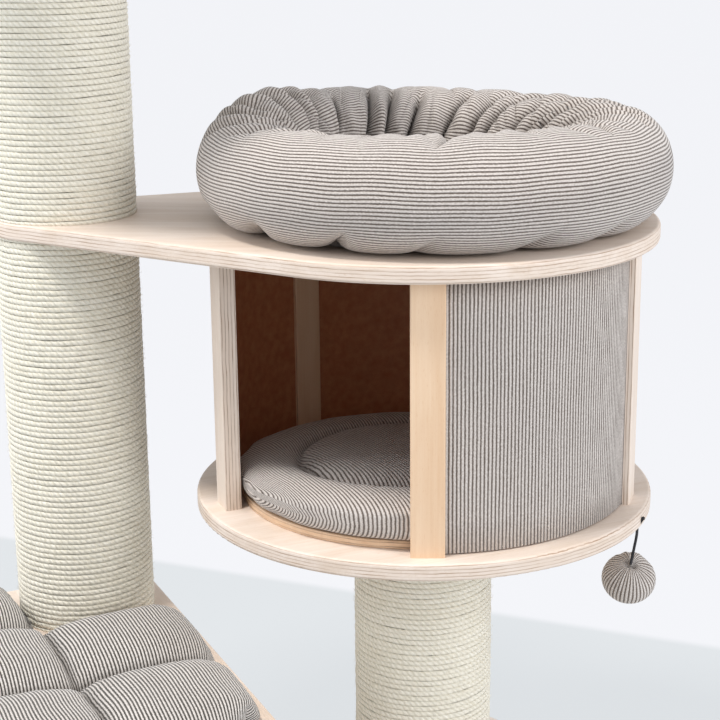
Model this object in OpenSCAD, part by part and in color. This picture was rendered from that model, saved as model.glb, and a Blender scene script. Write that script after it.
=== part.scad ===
// Cat tree: a base board, three sisal posts, a seat board, a round cave between two discs,
// a round bed on its roof, a top platform and a hanging toy.
// Millimetres, +Z up. X runs along the base board's long side, -Y is the front.
// The origin is the middle of the base board, on the floor.

/* [Boards] */
// Thickness of the plywood boards and slats
board_t = 18; // [15:1:21]
// Round-over along the edges of the boards
edge_r = 3.5; // [1:0.5:5]
// Width of the base board
base_w = 870; // [870:10:1000]
// Depth of the base board
base_d = 590; // [590:10:700]
// Thickness of the base board
base_t = 24; // [22:1:30]
// Radius of the base board's corners in plan
base_corner_r = 60; // [20:5:90]
// Thickness of the floor pads under the base board
pad_t = 4; // [3:0.5:6]

/* [Posts] */
// Outside diameter of a post, over its rope
post_d = 155; // [150:1:156]
// Thickness of the sisal rope
rope_t = 6; // [5:0.5:8]
// Length of the rear post between the base board and the seat board
lower_post_l = 300; // [260:5:400]
// Length of the rear post above the upper platform
upper_post_l = 450; // [400:5:520]
// Wall thickness of a post's inner tube
tube_wall = 6; // [4:0.5:10]

/* [Seat] */
// Width of the seat board, which is two cushion cells
seat_w = 340; // [330:5:345]
// Depth of the seat board, which is three cushion cells
seat_d = 495; // [490:5:500]
// Side of one quilted cell of the seat cushion
cell = 155; // [150:1:155]
// Height of the seat cushion
seat_cushion_t = 42; // [30:1:50]

/* [Cave] */
// Diameter of the cave's floor disc and of the roof disc
disc_d = 500; // [495:1:500]
// Height of the cave's floor above the top of the seat board
cave_rise = 169; // [150:1:220]
// Clear height inside the cave
cave_h = 278; // [250:1:320]
// Width of a slat
slat_w = 34; // [28:1:40]
// Distance from the cave's axis to the outer face of a slat
slat_r = 232; // [228:1:236]
// Angle between the two slats of the doorway
door_angle = 69; // [65:1:75]
// Thickness of a curved panel
panel_t = 3; // [2:0.5:4]
// Thickness of the corduroy on the outside of a panel
cover_t = 2; // [1:0.5:3]
// Diameter of the round board under the cave cushion
cave_mat_d = 380; // [340:5:380]
// Thickness of the round board under the cave cushion
cave_mat_t = 9; // [6:1:12]
// Height of the cave cushion
cave_cushion_t = 38; // [25:1:45]

/* [Bed and top] */
// Outside diameter of the round bed
bed_d = 504; // [480:2:510]
// Height of the round bed's rim
bed_h = 114; // [90:1:120]
// Diameter of the top platform
top_d = 400; // [360:10:420]
// Height of the cushion on the top platform
top_cushion_t = 42; // [30:1:50]

/* [Toy] */
// Diameter of the elastic cord
cord_d = 3; // [2:0.5:3]
// Diameter of the fabric ball
ball_d = 58; // [50:1:62]

/* [Hidden] */
$fn = 96;

// Places in plan
rear_xy = [-165, 167];
cave_xy = [170, -34];
seat_post_xy = [-322, -151];
top_xy = [-125, 77];
seat_xy = [-240, 8.5];
bed_xy = [180, -38];
mat_xy = [154, -48];
base_posts = [rear_xy, seat_post_xy, cave_xy];
pad_xy = [
    for (x = [-1, 0, 1], y = [-1, 1]) [x * (base_w / 2 - 45), y * (base_d / 2 - 45)],
    [0, 0]
];

// Levels
base_top = pad_t + base_t;
seat_z = base_top + lower_post_l;
seat_top = seat_z + board_t;
cave_top = seat_top + cave_rise;
cave_z = cave_top - board_t;
roof_z = cave_top + cave_h;
roof_top = roof_z + board_t;
top_z = roof_top + upper_post_l;
top_top = top_z + board_t;

// Posts
post_r = post_d / 2;
tube_r = post_r - rope_t;
plug_r = tube_r - tube_wall;
plug_t = 18;

// Steel fixings: 10 mm bolts and rods, 4 mm wood screws
bolt_r = 5;
bolt_gap = 0.3;
thread_gap = 0.05;
washer_r = 12;
washer_t = 2;
head_r = 8.5;
head_t = 6.4;
pocket_r = 13;
pocket_depth = head_t + washer_t + 0.6;
nut_flange_r = 13;
nut_flange_t = 1.6;
nut_barrel_r = 6.5;
nut_barrel_l = 10;
screw_r = 2;
screw_head_r = 4;
screw_head_t = 2.6;
screw_l = 42;
screw_pitch = 14;

// Wooden dowels that join the slats to the roof from below
dowel_r = 3;
dowel_l = 34;
dowel_in_roof = 11;

// Cave: the doorway bay is narrower than the four panelled bays
bay = (360 - door_angle) / 4;
door_right_angle = 244.5;
slat_angles = [
    door_right_angle,
    door_right_angle - door_angle,
    door_right_angle - door_angle - bay,
    door_right_angle - door_angle - 2 * bay,
    door_right_angle - door_angle - 3 * bay
];
panel_r = slat_r - 12;
groove_depth = 6;
panel_gap = 1.5;
slat_half_angle = asin((slat_w / 2) / panel_r);
groove_angle = asin((groove_depth - 1) / panel_r);

// Upper platform: a neck of this radius runs round the rear post
neck_r = post_r + 2.5;

// Toy: it hangs on the cave floor's rim, on the front right
toy_angle = 310;
exit_r = 246;
exit_xy = cave_xy + exit_r * [cos(toy_angle), sin(toy_angle)];
exit_z = cave_z;
// Route of the hanging cord, measured from the point where it leaves the underside
cord_route = [
    [0, 0, -2], [-0.2, 0, -8], [-1, 0.4, -15], [-2, 1, -22], [-3, 1.5, -29], [-4, 2, -36], [-5, 2.4, -42]
];
cord_end = cord_route[len(cord_route) - 1];
// Slope of the cord's hole from the vertical, and the knot at its outer end
hole_slope = 30;
knot_r = 2;
knot_reach = 12;
ball_h = 50;
dimple = 5;
ball_gap = 2.5;
ball_tilt = 28;
// Direction in plan towards which the ball's knot leans
ball_lean = 246;

// ---------- shared shapes ----------

module at(xy, z = 0) translate([xy[0], xy[1], z]) children();

// Outline of a disc's half section with rounded rims
module rim_section(r, t, e, fn) {
    square([r - e, t]);
    translate([0, e]) square([r, t - 2 * e]);
    for (z = [e, t - e]) translate([r - e, z]) circle(r = e, $fn = fn);
}

module round_disc(r, t, e, fn = 160, rim_fn = 32) rotate_extrude($fn = fn) rim_section(r, t, e, rim_fn);

// Rectangular plate with rounded corners in plan and rounded rims
module round_plate(w, d, t, corner, e) {
    for (x = [-1, 1], y = [-1, 1])
        translate([x * (w / 2 - corner), y * (d / 2 - corner), 0]) round_disc(corner, t, e, 64);
    plate_run(w - 2 * corner, d, t, e);
    rotate([0, 0, 90]) plate_run(d - 2 * corner, w, t, e);
}

// Straight run of a plate with its two rims along X
module plate_run(l, d, t, e) {
    translate([-l / 2, -d / 2 + e, 0]) cube([l, d - 2 * e, t]);
    translate([-l / 2, -d / 2, e]) cube([l, d, t - 2 * e]);
    for (y = [-1, 1], z = [e, t - e])
        translate([-l / 2, y * (d / 2 - e), z]) rotate([0, 90, 0]) cylinder(r = e, h = l, $fn = 32);
}

// Bolt hole through a board, with a pocket for the head at z = 0 and the board above it
module bolt_hole(t) {
    translate([0, 0, -1]) cylinder(r = bolt_r + bolt_gap, h = t + 2, $fn = 48);
}

module head_pocket() translate([0, 0, -1]) cylinder(r = pocket_r, h = pocket_depth + 1, $fn = 48);

// Hexagon bolt: the head's face is at z = 0 and the shank points up
module bolt(l) {
    cylinder(r = head_r, h = head_t, $fn = 6);
    cylinder(r = bolt_r, h = l, $fn = 48);
}

module washer() {
    difference() {
        cylinder(r = washer_r, h = washer_t, $fn = 48);
        translate([0, 0, -1]) cylinder(r = bolt_r + bolt_gap, h = washer_t + 2, $fn = 48);
    }
}

// Tee nut: flange at z = 0, barrel pointing up
module tee_nut() {
    difference() {
        union() {
            cylinder(r = nut_flange_r, h = nut_flange_t, $fn = 48);
            cylinder(r = nut_barrel_r, h = nut_flange_t + nut_barrel_l, $fn = 48);
        }
        translate([0, 0, -1]) cylinder(r = bolt_r + thread_gap, h = nut_barrel_l + 4, $fn = 48);
    }
}

// Countersunk wood screw: the head's face is at z = 0 and the point is up
module wood_screw() {
    rotate_extrude($fn = 32)
        polygon([
            [0, 0], [screw_head_r, 0], [screw_r, screw_head_t], [screw_r, screw_l - 5], [0, screw_l]
        ]);
}

// Room for a wood screw in a board and in the slat above it
module screw_room(t) {
    rotate_extrude($fn = 32)
        polygon([
            [0, -1], [screw_head_r + 0.1, -1], [screw_head_r + 0.1, 0.05],
            [screw_r + 0.3, screw_head_t], [screw_r + 0.3, t + 1], [0, t + 1]
        ]);
}

module pilot_hole() {
    translate([0, 0, -1]) cylinder(r = screw_r + thread_gap, h = screw_l - board_t + 3, $fn = 32);
}

// ---------- posts ----------

module post_tube(l) {
    color("tan") difference() {
        cylinder(r = tube_r, h = l);
        translate([0, 0, -1]) cylinder(r = plug_r, h = l + 2);
    }
}

module post_rope(l) {
    color("ivory") difference() {
        cylinder(r = post_r, h = l);
        translate([0, 0, -1]) cylinder(r = tube_r, h = l + 2);
    }
}

// Plug in the lower end of a post, with its tee nut's barrel hole on the inner side
module post_plug() {
    difference() {
        cylinder(r = plug_r, h = plug_t);
        bolt_hole(plug_t);
        translate([0, 0, plug_t - nut_barrel_l]) cylinder(r = nut_barrel_r, h = nut_barrel_l + 1, $fn = 48);
    }
}

module post_plugs(l) {
    color("burlywood") {
        post_plug();
        translate([0, 0, l]) mirror([0, 0, 1]) post_plug();
    }
}

module plug_nuts(l) {
    translate([0, 0, plug_t + nut_flange_t]) mirror([0, 0, 1]) tee_nut();
    translate([0, 0, l - plug_t - nut_flange_t]) tee_nut();
}

cave_post_l = cave_z - base_top;
middle_post_l = roof_z - seat_top;

module rear_lower_tube() at(rear_xy, base_top) post_tube(lower_post_l);
module rear_lower_rope() at(rear_xy, base_top) post_rope(lower_post_l);
module rear_lower_plugs() at(rear_xy, base_top) post_plugs(lower_post_l);
module rear_middle_tube() at(rear_xy, seat_top) post_tube(middle_post_l);
module rear_middle_rope() at(rear_xy, seat_top) post_rope(middle_post_l);
module rear_middle_plugs() at(rear_xy, seat_top) post_plugs(middle_post_l);
module rear_upper_tube() at(rear_xy, roof_top) post_tube(upper_post_l);
module rear_upper_rope() at(rear_xy, roof_top) post_rope(upper_post_l);
module rear_upper_plugs() at(rear_xy, roof_top) post_plugs(upper_post_l);
module seat_post_tube() at(seat_post_xy, base_top) post_tube(lower_post_l);
module seat_post_rope() at(seat_post_xy, base_top) post_rope(lower_post_l);
module seat_post_plugs() at(seat_post_xy, base_top) post_plugs(lower_post_l);
module cave_post_tube() at(cave_xy, base_top) post_tube(cave_post_l);
module cave_post_rope() at(cave_xy, base_top) post_rope(cave_post_l);
module cave_post_plugs() at(cave_xy, base_top) post_plugs(cave_post_l);

module tee_nuts() {
    color("silver") {
        at(rear_xy, base_top) plug_nuts(lower_post_l);
        at(rear_xy, seat_top) plug_nuts(middle_post_l);
        at(rear_xy, roof_top) plug_nuts(upper_post_l);
        at(seat_post_xy, base_top) plug_nuts(lower_post_l);
        at(cave_xy, base_top) plug_nuts(cave_post_l);
    }
}

// Rods that join the rear post's lengths through the seat board and the upper platform
rod_l = board_t + 2 * (plug_t + 4);

module rear_rods() {
    color("silver")
        for (z = [seat_z, roof_z]) at(rear_xy, z + board_t / 2 - rod_l / 2) cylinder(r = bolt_r, h = rod_l, $fn = 48);
}

// ---------- base ----------

module base_board() {
    color("wheat") difference() {
        translate([0, 0, pad_t]) round_plate(base_w, base_d, base_t, base_corner_r, edge_r);
        for (p = base_posts) at(p, pad_t) {
            bolt_hole(base_t);
            head_pocket();
        }
    }
}

module base_pads() color("dimgray") for (p = pad_xy) at(p) cylinder(r = 20, h = pad_t, $fn = 64);

base_bolt_z = pad_t + 0.6;

module base_bolts() color("silver") for (p = base_posts) at(p, base_bolt_z) bolt(base_t + plug_t + 3);

module base_washers() {
    color("silver") for (p = base_posts) at(p, base_bolt_z + head_t) washer();
}

// ---------- bolts down through the boards into the posts' top plugs ----------

top_bolt_places = [
    [cave_xy[0], cave_xy[1], cave_top],
    [seat_post_xy[0], seat_post_xy[1], seat_top],
    [rear_xy[0], rear_xy[1], top_top]
];

module top_bolts() {
    color("silver") for (p = top_bolt_places)
        translate(p - [0, 0, 0.6]) mirror([0, 0, 1]) bolt(board_t + plug_t + 3);
}

module top_washers() {
    color("silver") for (p = top_bolt_places)
        translate(p - [0, 0, 0.6 + head_t + washer_t]) washer();
}

// Bolt hole with its pocket in the top face of a board whose top is at z = 0
module top_bolt_room() {
    mirror([0, 0, 1]) {
        bolt_hole(board_t);
        head_pocket();
    }
}

// ---------- seat ----------

module seat_board() {
    color("wheat") difference() {
        at(seat_xy, seat_z) round_plate(seat_w, seat_d, board_t, 30, edge_r);
        at(rear_xy, seat_z) bolt_hole(board_t);
        at(seat_post_xy, seat_top) top_bolt_room();
    }
}

// Two by three cells without the cell where the rear post stands
cushion_corner = 24;
cushion_right = rear_xy[0] + cell / 2 + 1;
cushion_left = cushion_right - 2 * cell - 2;
notch_y = rear_xy[1] - post_r - 2;
cushion_front = notch_y - 2 * cell;

module round_square(w, d, r) {
    translate([0, r]) square([w, d - 2 * r]);
    translate([r, 0]) square([w - 2 * r, d]);
    for (x = [r, w - r], y = [r, d - r]) translate([x, y]) circle(r = r, $fn = 48);
}

module seat_cushion() {
    color("silver") at([cushion_left, cushion_front], seat_top) linear_extrude(seat_cushion_t) {
        round_square(cushion_right - cushion_left, 2 * cell, cushion_corner);
        round_square(cell - 1, 3 * cell, cushion_corner);
    }
}

// ---------- cave ----------

// Places what a slat's two screws need, at the slat's middle
module slat_screws(a) {
    rotate([0, 0, a]) for (y = [-1, 1])
        translate([slat_r - board_t / 2, y * screw_pitch / 2, 0]) children();
}

module cave_floor() {
    color("wheat") difference() {
        at(cave_xy, cave_z) round_disc(disc_d / 2, board_t, edge_r);
        at(cave_xy, cave_top) top_bolt_room();
        at(cave_xy, cave_z) for (a = slat_angles) slat_screws(a) screw_room(board_t);
        cord_hole();
    }
}

// Slanted hole for the toy's cord, from the rim down to the underside
module cord_hole() {
    at(exit_xy, exit_z) rotate([0, 0, toy_angle]) rotate([0, hole_slope, 0])
        translate([0, 0, -6]) cylinder(r = cord_d / 2 + 0.2, h = 24, $fn = 32);
}

module cave_floor_screws() {
    color("silver") at(cave_xy, cave_z) for (a = slat_angles) slat_screws(a) wood_screw();
}

module roof_dowels() {
    color("burlywood") at(cave_xy, roof_z + dowel_in_roof - dowel_l)
        for (a = slat_angles) slat_screws(a) cylinder(r = dowel_r, h = dowel_l, $fn = 32);
}

// Blind hole from z = 0 up, 1 mm deeper than the dowel reaches
module dowel_hole(reach) {
    translate([0, 0, -1]) cylinder(r = dowel_r + thread_gap, h = reach + 2, $fn = 32);
}

module slat_outline() {
    e = 1.5;
    translate([-board_t / 2 + e, -slat_w / 2]) square([board_t - 2 * e, slat_w]);
    translate([-board_t / 2, -slat_w / 2 + e]) square([board_t, slat_w - 2 * e]);
    for (x = [-1, 1], y = [-1, 1])
        translate([x * (board_t / 2 - e), y * (slat_w / 2 - e)]) circle(r = e, $fn = 24);
}

// Slat number i, with a groove down each side that faces a panel
module slat(i) {
    a = slat_angles[i];
    color("burlywood") at(cave_xy, cave_top) difference() {
        rotate([0, 0, a]) translate([slat_r - board_t / 2, 0, 0]) linear_extrude(cave_h) slat_outline();
        if (i != 1) panel_groove(a + slat_half_angle);
        if (i != 0) panel_groove(a - slat_half_angle);
        slat_screws(a) pilot_hole();
        translate([0, 0, cave_h]) mirror([0, 0, 1]) slat_screws(a) dowel_hole(dowel_l - dowel_in_roof);
    }
}

groove_half_angle = asin(groove_depth / panel_r);

module panel_groove(a) {
    rotate([0, 0, a - groove_half_angle])
        rotate_extrude(angle = 2 * groove_half_angle, $fn = 180)
            translate([panel_r - 0.3, -1]) square([panel_t + cover_t + 0.6, cave_h + 2]);
}

module slat_door_right() slat(0);
module slat_door_left() slat(1);
module slat_back_left() slat(2);
module slat_back_right() slat(3);
module slat_right() slat(4);

// Curved shell between slat number i and the next one, counted from the doorway's right slat
module bay_shell(i, r, t, tuck) {
    from = door_right_angle + i * bay + slat_half_angle - tuck;
    to = door_right_angle + (i + 1) * bay - slat_half_angle + tuck;
    at(cave_xy, cave_top + panel_gap) rotate([0, 0, from])
        rotate_extrude(angle = to - from, $fn = 180)
            translate([r, 0]) square([t, cave_h - 2 * panel_gap]);
}

module panel(i) color("sienna") bay_shell(i, panel_r, panel_t, groove_angle);
module cover(i) color("darkgray") bay_shell(i, panel_r + panel_t, cover_t, groove_angle);

module panel_front() panel(0);
module panel_right() panel(1);
module panel_back() panel(2);
module panel_left() panel(3);
module cover_front() cover(0);
module cover_right() cover(1);
module cover_back() cover(2);
module cover_left() cover(3);

module cave_mat() color("wheat") at(mat_xy, cave_top) round_disc(cave_mat_d / 2, cave_mat_t, 1.5);

module cave_cushion() {
    color("silver") at(mat_xy, cave_top + cave_mat_t) round_disc(cave_mat_d / 2 - 6, cave_cushion_t, 15);
}

// ---------- upper platform and bed ----------

module upper_platform() {
    color("wheat") difference() {
        hull() {
            at(cave_xy, roof_z) round_disc(disc_d / 2, board_t, edge_r, 120, 16);
            at(rear_xy, roof_z) round_disc(neck_r, board_t, edge_r, 64, 16);
        }
        at(rear_xy, roof_z) bolt_hole(board_t);
        at(cave_xy, roof_z) for (a = slat_angles) slat_screws(a) dowel_hole(dowel_in_roof);
    }
}

// Half section of the bed's ring: two circles joined by a band, cut flat underneath
ring_r = bed_h / 2 + 2;
ring_band = 14;
ring_out = bed_d / 2 - ring_r;

module bed_bolster() {
    color("silver") at(bed_xy, roof_top) rotate_extrude($fn = 160) intersection() {
        translate([0, bed_h - ring_r]) {
            for (x = [ring_out - ring_band, ring_out]) translate([x, 0]) circle(r = ring_r, $fn = 64);
            translate([ring_out - ring_band, -ring_r]) square([ring_band, 2 * ring_r]);
        }
        square([bed_d, 2 * bed_h]);
    }
}

module bed_pad() color("silver") at(bed_xy, roof_top) round_disc(ring_out - ring_band - ring_r + 1, 24, 8);

// ---------- top ----------

module top_platform() {
    color("wheat") difference() {
        at(top_xy, top_z) round_disc(top_d / 2, board_t, edge_r);
        at(rear_xy, top_top) top_bolt_room();
    }
}

module top_cushion() color("silver") at(top_xy, top_top) round_disc(top_d / 2 - 12, top_cushion_t, 16);

// ---------- toy ----------

// Ring of the swept cord round route point i
function along(p, i) = p[min(i + 1, len(p) - 1)] - p[max(i - 1, 0)];
function unit(v) = v / norm(v);
function ring(p, i, r, n) =
    let (t = unit(along(p, i)), u = unit(cross(t, [0, 1, 0])), v = cross(t, u))
    [for (k = [0 : n - 1]) p[i] + r * (cos(360 * k / n) * u + sin(360 * k / n) * v)];

module tube_along(p, r, n) {
    m = len(p);
    points = [for (i = [0 : m - 1]) each ring(p, i, r, n)];
    sides = [
        for (i = [0 : m - 2], k = [0 : n - 1])
            [i * n + k, i * n + (k + 1) % n, (i + 1) * n + (k + 1) % n, (i + 1) * n + k]
    ];
    start = [for (k = [n - 1 : -1 : 0]) k];
    end = [for (k = [0 : n - 1]) (m - 1) * n + k];
    polyhedron(points, concat(sides, [start, end]));
}

module toy_cord() color("black") at(exit_xy, exit_z) tube_along(cord_route, cord_d / 2, 8);

// The end of the cord inside its hole, with the knot that stops it on the rim
module toy_knot() {
    color("black") at(exit_xy, exit_z) rotate([0, 0, toy_angle]) rotate([0, hole_slope, 0]) {
        translate([0, 0, 1.5]) cylinder(r = cord_d / 2, h = knot_reach - 1.5, $fn = 32);
        translate([0, 0, knot_reach]) sphere(r = knot_r, $fn = 32);
    }
}

// Half section of the ball, flattened, with a dimple for the cord
function ball_point(a) =
    [ball_d / 2 * cos(a), ball_h / 2 * sin(a) - dimple * pow(max(0, sin(a)), 24)];

module toy_ball() {
    color("silver") at(exit_xy, exit_z) translate(cord_end - [0, 0, ball_gap])
        rotate([0, 0, ball_lean]) rotate([0, ball_tilt, 0]) translate([0, 0, dimple - ball_h / 2])
            rotate_extrude($fn = 64) polygon([for (a = [-90 : 7.5 : 90]) ball_point(a)]);
}

// ---------- the object ----------

base_board();
base_pads();
base_bolts();
base_washers();
rear_lower_tube();
rear_lower_rope();
rear_lower_plugs();
rear_middle_tube();
rear_middle_rope();
rear_middle_plugs();
rear_upper_tube();
rear_upper_rope();
rear_upper_plugs();
seat_post_tube();
seat_post_rope();
seat_post_plugs();
cave_post_tube();
cave_post_rope();
cave_post_plugs();
tee_nuts();
rear_rods();
top_bolts();
top_washers();
seat_board();
seat_cushion();
cave_floor();
cave_floor_screws();
roof_dowels();
slat_door_right();
slat_door_left();
slat_back_left();
slat_back_right();
slat_right();
panel_front();
panel_right();
panel_back();
panel_left();
cover_front();
cover_right();
cover_back();
cover_left();
cave_mat();
cave_cushion();
upper_platform();
bed_bolster();
bed_pad();
top_platform();
top_cushion();
toy_knot();
toy_cord();
toy_ball();
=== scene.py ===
# %% [markdown]
# # A cat tree with a round cave and a round bed
#
# Boards, posts, panels and fixings come from the CAD model and stay where they are. Blender adds what CAD
# leaves plain: rope wound turn by turn, corduroy with its ribs, filled cushions and every surface's finish.

# %% Load the fixed frame
import math
from functools import partial

import bmesh
import bpy
import numpy as np
from mathutils import Matrix, Vector


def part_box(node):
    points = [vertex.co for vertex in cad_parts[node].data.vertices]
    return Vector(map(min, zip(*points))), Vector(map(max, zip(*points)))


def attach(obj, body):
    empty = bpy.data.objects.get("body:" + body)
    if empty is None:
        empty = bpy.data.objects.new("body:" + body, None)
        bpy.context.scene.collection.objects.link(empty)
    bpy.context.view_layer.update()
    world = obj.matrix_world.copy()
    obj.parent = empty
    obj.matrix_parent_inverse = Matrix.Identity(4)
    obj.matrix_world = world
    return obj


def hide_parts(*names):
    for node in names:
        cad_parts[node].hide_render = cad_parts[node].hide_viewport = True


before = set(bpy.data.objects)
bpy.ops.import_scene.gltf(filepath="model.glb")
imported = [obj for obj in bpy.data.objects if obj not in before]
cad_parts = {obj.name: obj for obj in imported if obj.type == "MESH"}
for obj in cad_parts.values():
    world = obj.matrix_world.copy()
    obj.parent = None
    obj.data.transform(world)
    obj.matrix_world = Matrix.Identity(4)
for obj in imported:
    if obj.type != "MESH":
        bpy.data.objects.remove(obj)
scene = bpy.context.scene
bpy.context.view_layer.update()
MM = 0.001
TURN = 2 * math.pi


def middle(node):
    """Middle of a CAD node's box."""
    low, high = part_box(node)
    return (low + high) / 2


cave = middle("cave_floor")
rear = middle("rear_middle_rope")
roof_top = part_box("upper_platform")[1].z
seat_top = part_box("seat_board")[1].z
print("cave at", [round(v, 3) for v in cave], "roof top", round(roof_top, 3))

# %% [markdown]
# ## Camera
#
# The camera looks down a little, at the cave and the bed. A long lens keeps upright lines nearly parallel.
# Its turn is made of three plain ones: round the upright axis, down from level, and a slight roll.

# %% Camera
YAW, PITCH, ROLL = math.radians(-24.5), math.radians(15.41), math.radians(-0.573)
CAMERA_AT, SENSOR_MM, LENS_MM = (-0.62765, -1.61885, 1.142), 36.0, 84.31
camera_data = bpy.data.cameras.new("camera")
camera_data.sensor_width, camera_data.lens = SENSOR_MM, LENS_MM
camera = bpy.data.objects.new("camera", camera_data)
turn = Matrix.Rotation(YAW, 4, "Z") @ Matrix.Rotation(math.radians(90) - PITCH, 4, "X")
turn = turn @ Matrix.Rotation(ROLL, 4, "Z")
camera.matrix_world = Matrix.Translation(CAMERA_AT) @ turn
scene.collection.objects.link(camera)
scene.camera = camera
print("camera looks along", [round(v, 3) for v in turn.to_3x3() @ Vector((0, 0, -1))])

# %% [markdown]
# ## Materials
#
# Every finish is a small node tree. One function adds a node, sets it and links its inputs. Colours are
# given as the hex values that a screen shows, and one function turns them to the linear values that light
# needs. Noise is stretched to so many spots to a metre along each direction.


# %% Helpers for materials
SMOOTH = {"interpolation_type": "SMOOTHSTEP"}  # for Map Range
BLEND = {"out": 2, "data_type": "RGBA"}  # for a Mix of two colours


def colour(code):
    """Linear RGBA of an sRGB hex code."""
    parts = [int(code[i : i + 2], 16) / 255 for i in (1, 3, 5)]
    return (*(p / 12.92 if p <= 0.04045 else ((p + 0.055) / 1.055) ** 2.4 for p in parts), 1.0)


def node(tree, kind, inputs=None, out=0, **settings):
    """Adds a shader node: settings are its options, inputs are numbers, colours or other nodes' outputs."""
    new = tree.nodes.new("ShaderNode" + kind)
    for name, value in settings.items():
        setattr(new, name, value)
    for key, value in (inputs or {}).items():
        if isinstance(value, bpy.types.NodeSocket):
            tree.links.new(value, new.inputs[key])
        else:
            new.inputs[key].default_value = value
    return new.outputs[out] if new.outputs else None


def new_material(name):
    """An empty material, and node() bound to its tree, which is called add below."""
    made = bpy.data.materials.new(name)
    made.use_nodes = True
    made.node_tree.nodes.clear()
    return made, partial(node, made.node_tree)


def finish_material(add, surface):
    """Links the shader to the material's output."""
    add("OutputMaterial", {"Surface": surface})


def stretched_noise(add, place, spots, detail, **more):
    """Noise with so many spots to a metre along each direction of place."""
    stretched = add("VectorMath", {0: place, 1: spots}, operation="MULTIPLY")
    return add("TexNoise", {"Vector": stretched, "Scale": 1.0, "Detail": detail, **more})


def off_centre(add, repeats):
    """In each repeat of a pattern, 0 at its middle and 0.5 where it meets the next."""
    part = add("Math", {0: repeats}, operation="FRACT")
    part = add("Math", {0: part, 1: 0.5}, operation="SUBTRACT")
    return add("Math", {0: part}, operation="ABSOLUTE")


# %% [markdown]
# ### Birch plywood
#
# The boards are birch plywood with a clear matt lacquer. The faces are pale, with fine grain and a few
# brown flecks, and the rounded edges cut through the plies, so they show thin dark lines. The depth through
# the board drives the lines, so they bend round the rounded edge by themselves, as real plies do.

# %% Birch plywood
PLY_REPEAT = 3.6 * MM  # one light and one dark ply
BOARD = 18 * MM


def plywood(name, through, low, grain, face, line, contrast=1.0, thick=BOARD):
    """Plywood: through points across the plies, low is where they start, grain is the veneer's direction.
    The plies are spread evenly over the thickness, so both faces are clean veneer."""
    repeat = thick / round(thick / PLY_REPEAT - 0.01)  # a half is rounded down
    made, add = new_material(name)
    through, grain = Vector(through).normalized(), Vector(grain).normalized()
    place = add("TexCoord", out="Object")
    depth = add("VectorMath", {0: place, 1: through}, out="Value", operation="DOT_PRODUCT")
    depth = add("Math", {0: depth, 1: low}, operation="SUBTRACT")
    along = add("VectorMath", {0: place, 1: grain}, out="Value", operation="DOT_PRODUCT")
    side = through.cross(grain)
    across = add("VectorMath", {0: place, 1: side}, out="Value", operation="DOT_PRODUCT")
    spot = add("CombineXYZ", {"X": along, "Y": across, "Z": depth})
    # The plies wander by a few tenths of a millimetre
    wander = add("TexNoise", {"Vector": spot, "Scale": 38.0, "Detail": 2.0})
    shift = add("MapRange", {"Value": wander, "From Min": 0.3, "From Max": 0.7,
                             "To Min": -0.35 * MM, "To Max": 0.35 * MM})
    ply = add("Math", {0: depth, 1: shift}, operation="ADD")
    ply = add("Math", {0: ply, 1: repeat}, operation="DIVIDE")
    part = off_centre(add, ply)
    dark_ply = add("MapRange", {"Value": part, "From Min": 0.06, "From Max": 0.2,
                                "To Min": 1.0, "To Max": 0.0}, **SMOOTH)
    # Each dark ply changes in strength along the edge
    strength = stretched_noise(add, spot, (26.0, 26.0, 280.0), 3.0)
    strength = add("MapRange", {"Value": strength, "From Min": 0.32, "From Max": 0.66,
                                "To Min": 0.12, "To Max": 0.9})
    dark_ply = add("Math", {0: dark_ply, 1: strength}, operation="MULTIPLY")
    # Grain: long streaks with the grain, 1 to 2 mm apart, and a slow figure some centimetres wide
    streak = stretched_noise(add, spot, (9.0, 420.0, 420.0), 4.0, Roughness=0.6)
    figure = stretched_noise(add, spot, (5.0, 34.0, 34.0), 2.0, Distortion=0.8)
    fleck = stretched_noise(add, spot, (170.0, 900.0, 900.0), 1.0)
    fleck = add("MapRange", {"Value": fleck, "From Min": 0.63, "From Max": 0.76,
                             "To Min": 0.0, "To Max": 0.35 * contrast})
    tone = add("MapRange", {"Value": streak, "From Min": 0.3, "From Max": 0.7,
                            "To Min": 0.0, "To Max": 0.32 * contrast})
    slow = add("MapRange", {"Value": figure, "From Min": 0.35, "From Max": 0.65,
                            "To Min": 0.0, "To Max": 0.38 * contrast})
    tone = add("Math", {0: tone, 1: slow}, operation="ADD")
    tone = add("Math", {0: tone, 1: fleck}, operation="ADD")
    wood = add("Mix", {"Factor": tone, 6: colour(face[0]), 7: colour(face[1])}, **BLEND)
    wood = add("Mix", {"Factor": dark_ply, 6: wood, 7: colour(line)}, **BLEND)
    rough = add("MapRange", {"Value": streak, "To Min": 0.46, "To Max": 0.62})
    bump = add("Bump", {"Height": tone, "Strength": 0.25, "Distance": 0.3 * MM})
    finish_material(add, add("BsdfPrincipled", {
        "Base Color": wood, "Roughness": rough, "Normal": bump,
        "Coat Weight": 0.08, "Coat Roughness": 0.4}))
    return made


PALE_BIRCH = ("#ecdfd4", "#d3bea9")
HONEY_BIRCH = ("#eaceb0", "#d5ac84")
PLY_LINE = "#a5876e"
SLAT_LINE = "#8f6b4d"

# %% [markdown]
# ### Sisal rope
#
# Sisal is a hard, pale plant fibre, laid up as three strands. Each strand is a slanted ridge on the rope,
# with a shadow between it and the next, and single fibres run along it. The rope carries its own
# coordinates: u runs along the rope in metres and v once round it, so the lay follows every turn.

# %% Sisal rope
STRAND_REPEAT = 6.4 * MM  # from one strand to the next, along the rope


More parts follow.
